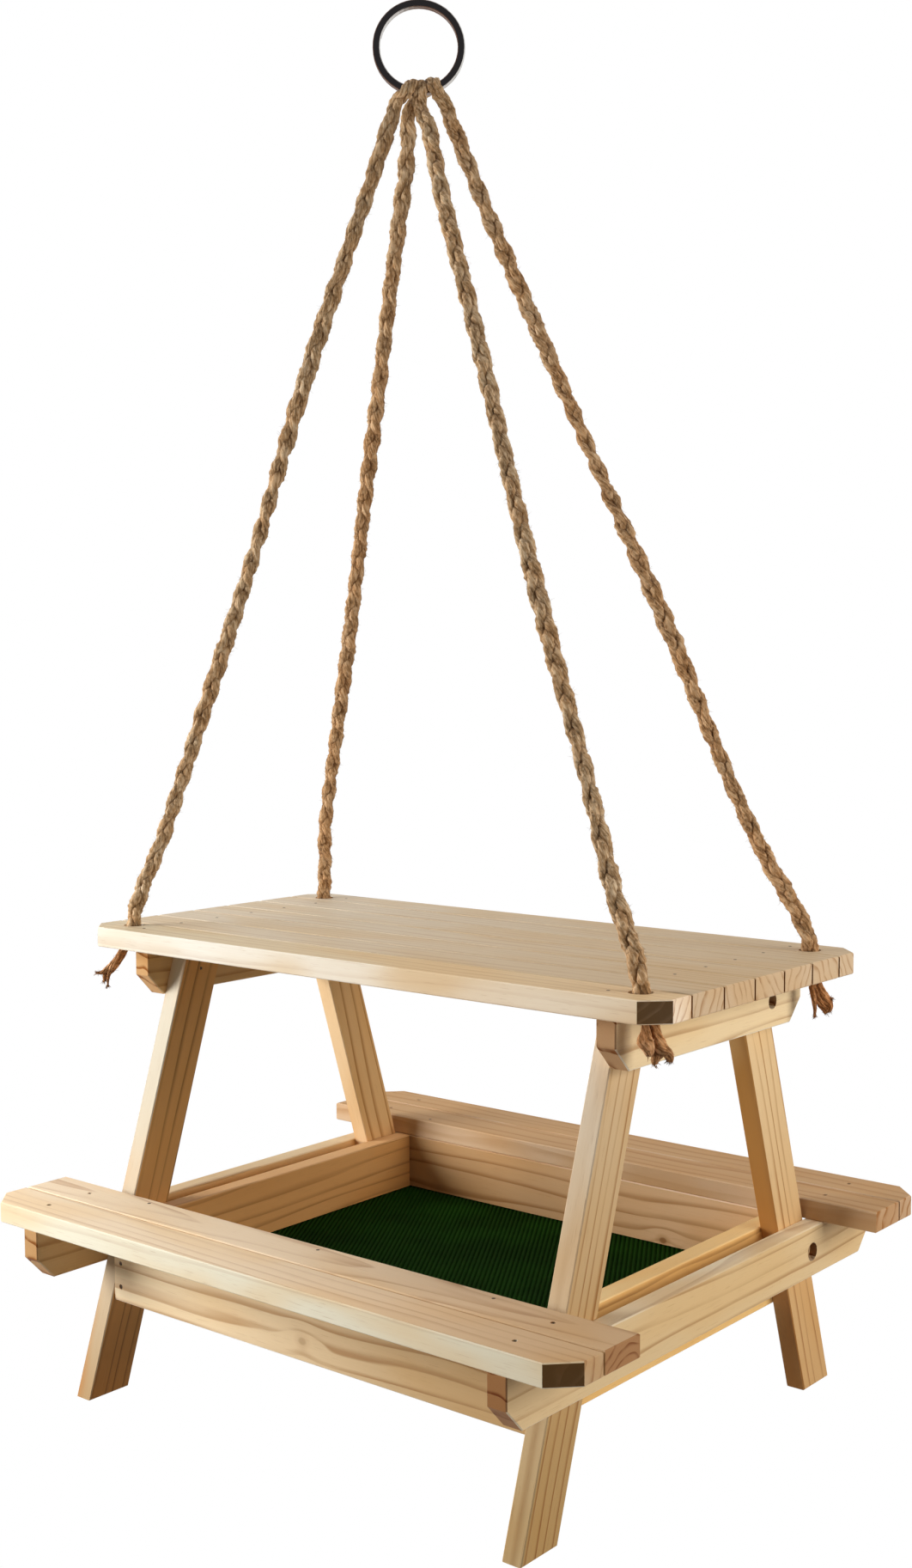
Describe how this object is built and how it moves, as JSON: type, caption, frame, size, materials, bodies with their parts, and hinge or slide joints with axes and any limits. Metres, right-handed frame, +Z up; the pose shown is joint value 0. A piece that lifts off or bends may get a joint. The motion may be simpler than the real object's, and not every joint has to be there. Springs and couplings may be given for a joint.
{
  "type": "hanging bird table",
  "caption": "Hanging bird table shaped like a small picnic table: slatted top, benches, splayed legs and a mesh-floored seed tray, hung by jute ropes from a split ring.",
  "frame": {"origin": "inner top of the split ring, where the hook that holds the part bears", "axes": "+Z up, X along the benches, Y across them with the picture's front at -Y; the split ring's plane holds Z and lies 38.7 degrees from X towards Y"},
  "size_m": [0.284, 0.2377, 0.5367],
  "materials": {
    "pine": "planed, untreated",
    "screw_steel": "dull",
    "ring_steel": "dark and shiny",
    "jute": "plaited, hairy",
    "green_mesh": "woven, matte"
  },
  "bodies": {
    "ring": {"split_ring": "ring_steel"},
    "table": {"top_slat_1": "pine", "top_slat_2": "pine", "top_slat_3": "pine", "top_slat_4": "pine", "top_slat_5": "pine", "top_slat_6": "pine", "top_slat_7": "pine", "top_cleat_left": "pine", "top_cleat_right": "pine", "bench_support_left": "pine", "bench_support_right": "pine", "leg_front_left": "pine", "leg_front_right": "pine", "leg_back_left": "pine", "leg_back_right": "pine", "bench_slat_front_inner": "pine", "bench_slat_front_outer": "pine", "bench_slat_back_inner": "pine", "bench_slat_back_outer": "pine", "tray_wall_front": "pine", "tray_wall_back": "pine", "tray_wall_left": "pine", "tray_wall_right": "pine", "tray_mesh_floor": "green_mesh", "cleat_screw_front_left": "screw_steel", "cleat_screw_front_right": "screw_steel", "cleat_screw_back_left": "screw_steel", "cleat_screw_back_right": "screw_steel", "support_screw_front_left": "screw_steel", "support_screw_front_right": "screw_steel", "support_screw_back_left": "screw_steel", "support_screw_back_right": "screw_steel", "bench_nail_front_left_inner": "screw_steel", "bench_nail_front_left_outer": "screw_steel", "bench_nail_front_right_inner": "screw_steel", "bench_nail_front_right_outer": "screw_steel", "bench_nail_back_left_inner": "screw_steel", "bench_nail_back_left_outer": "screw_steel", "bench_nail_back_right_inner": "screw_steel", "bench_nail_back_right_outer": "screw_steel", "wall_nail_front_left_1": "screw_steel", "wall_nail_front_left_2": "screw_steel", "wall_nail_front_right_1": "screw_steel", "wall_nail_front_right_2": "screw_steel", "wall_nail_back_left_1": "screw_steel", "wall_nail_back_left_2": "screw_steel", "wall_nail_back_right_1": "screw_steel", "wall_nail_back_right_2": "screw_steel", "rope_loop_left": "jute", "rope_loop_middle": "jute", "rope_loop_right": "jute", "rope_strand_front_left": "jute", "rope_strand_front_right": "jute", "rope_strand_back_left": "jute", "rope_strand_back_right": "jute", "rope_end_front_left": "jute", "rope_end_front_right": "jute", "rope_end_back_left": "jute", "rope_end_back_right": "jute"}
  },
  "joints": [
    {"name": "ring_hinge", "type": "hinge", "parent": "ring", "child": "table", "pos_m": [0, 0, -0.0308], "axis": [0.7804, 0.6252, 0], "range_deg": [-80, 80]}
  ]
}
